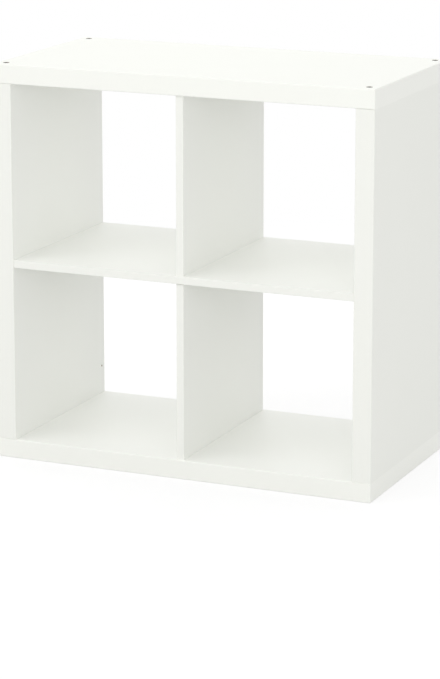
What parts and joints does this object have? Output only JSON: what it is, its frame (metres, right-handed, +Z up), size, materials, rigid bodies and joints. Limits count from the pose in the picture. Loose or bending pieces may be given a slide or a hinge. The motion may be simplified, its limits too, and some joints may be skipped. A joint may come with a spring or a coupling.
{
  "type": "cube storage unit",
  "caption": "Free-standing open cube storage unit with thick outer panels, a thin shelf and thin dividers, open at the front and back, plain white, for boxes, books or records.",
  "frame": {"origin": "on the floor under the middle of the unit", "axes": "+Z up, +X along the width to the right seen from the front, +Y from the front to the back"},
  "size_m": [0.765, 0.39, 0.765],
  "materials": {
    "white_lacquer": "satin",
    "white_edging": "satin",
    "white_foil_board": "satin",
    "particleboard": "matte",
    "honeycomb_paper": "matte",
    "beech": "matte",
    "dark_steel": "satin"
  },
  "bodies": {
    "root": {"top_outer_skin": "white_lacquer", "top_inner_skin": "white_lacquer", "top_front_rail": "particleboard", "top_back_rail": "particleboard", "top_left_block": "particleboard", "top_right_block": "particleboard", "top_centre_block": "particleboard", "top_honeycomb": "honeycomb_paper", "top_front_edge": "white_edging", "top_back_edge": "white_edging", "top_left_edge": "white_edging", "top_right_edge": "white_edging", "bottom_outer_skin": "white_lacquer", "bottom_inner_skin": "white_lacquer", "bottom_front_rail": "particleboard", "bottom_back_rail": "particleboard", "bottom_left_block": "particleboard", "bottom_right_block": "particleboard", "bottom_centre_block": "particleboard", "bottom_honeycomb": "honeycomb_paper", "bottom_front_edge": "white_edging", "bottom_back_edge": "white_edging", "bottom_left_edge": "white_edging", "bottom_right_edge": "white_edging", "left_outer_skin": "white_lacquer", "left_inner_skin": "white_lacquer", "left_front_rail": "particleboard", "left_back_rail": "particleboard", "left_lower_block": "particleboard", "left_upper_block": "particleboard", "left_centre_block": "particleboard", "left_honeycomb": "honeycomb_paper", "left_front_edge": "white_edging", "left_back_edge": "white_edging", "right_outer_skin": "white_lacquer", "right_inner_skin": "white_lacquer", "right_front_rail": "particleboard", "right_back_rail": "particleboard", "right_lower_block": "particleboard", "right_upper_block": "particleboard", "right_centre_block": "particleboard", "right_honeycomb": "honeycomb_paper", "right_front_edge": "white_edging", "right_back_edge": "white_edging", "shelf_board": "white_foil_board", "shelf_front_edge": "white_edging", "shelf_back_edge": "white_edging", "upper_divider_board": "white_foil_board", "upper_divider_front_edge": "white_edging", "upper_divider_back_edge": "white_edging", "lower_divider_board": "white_foil_board", "lower_divider_front_edge": "white_edging", "lower_divider_back_edge": "white_edging", "corner_dowels": "beech", "shelf_dowels": "beech", "divider_dowels": "beech", "through_dowels": "beech", "top_screws": "dark_steel", "bottom_screws": "dark_steel"}
  },
  "joints": []
}
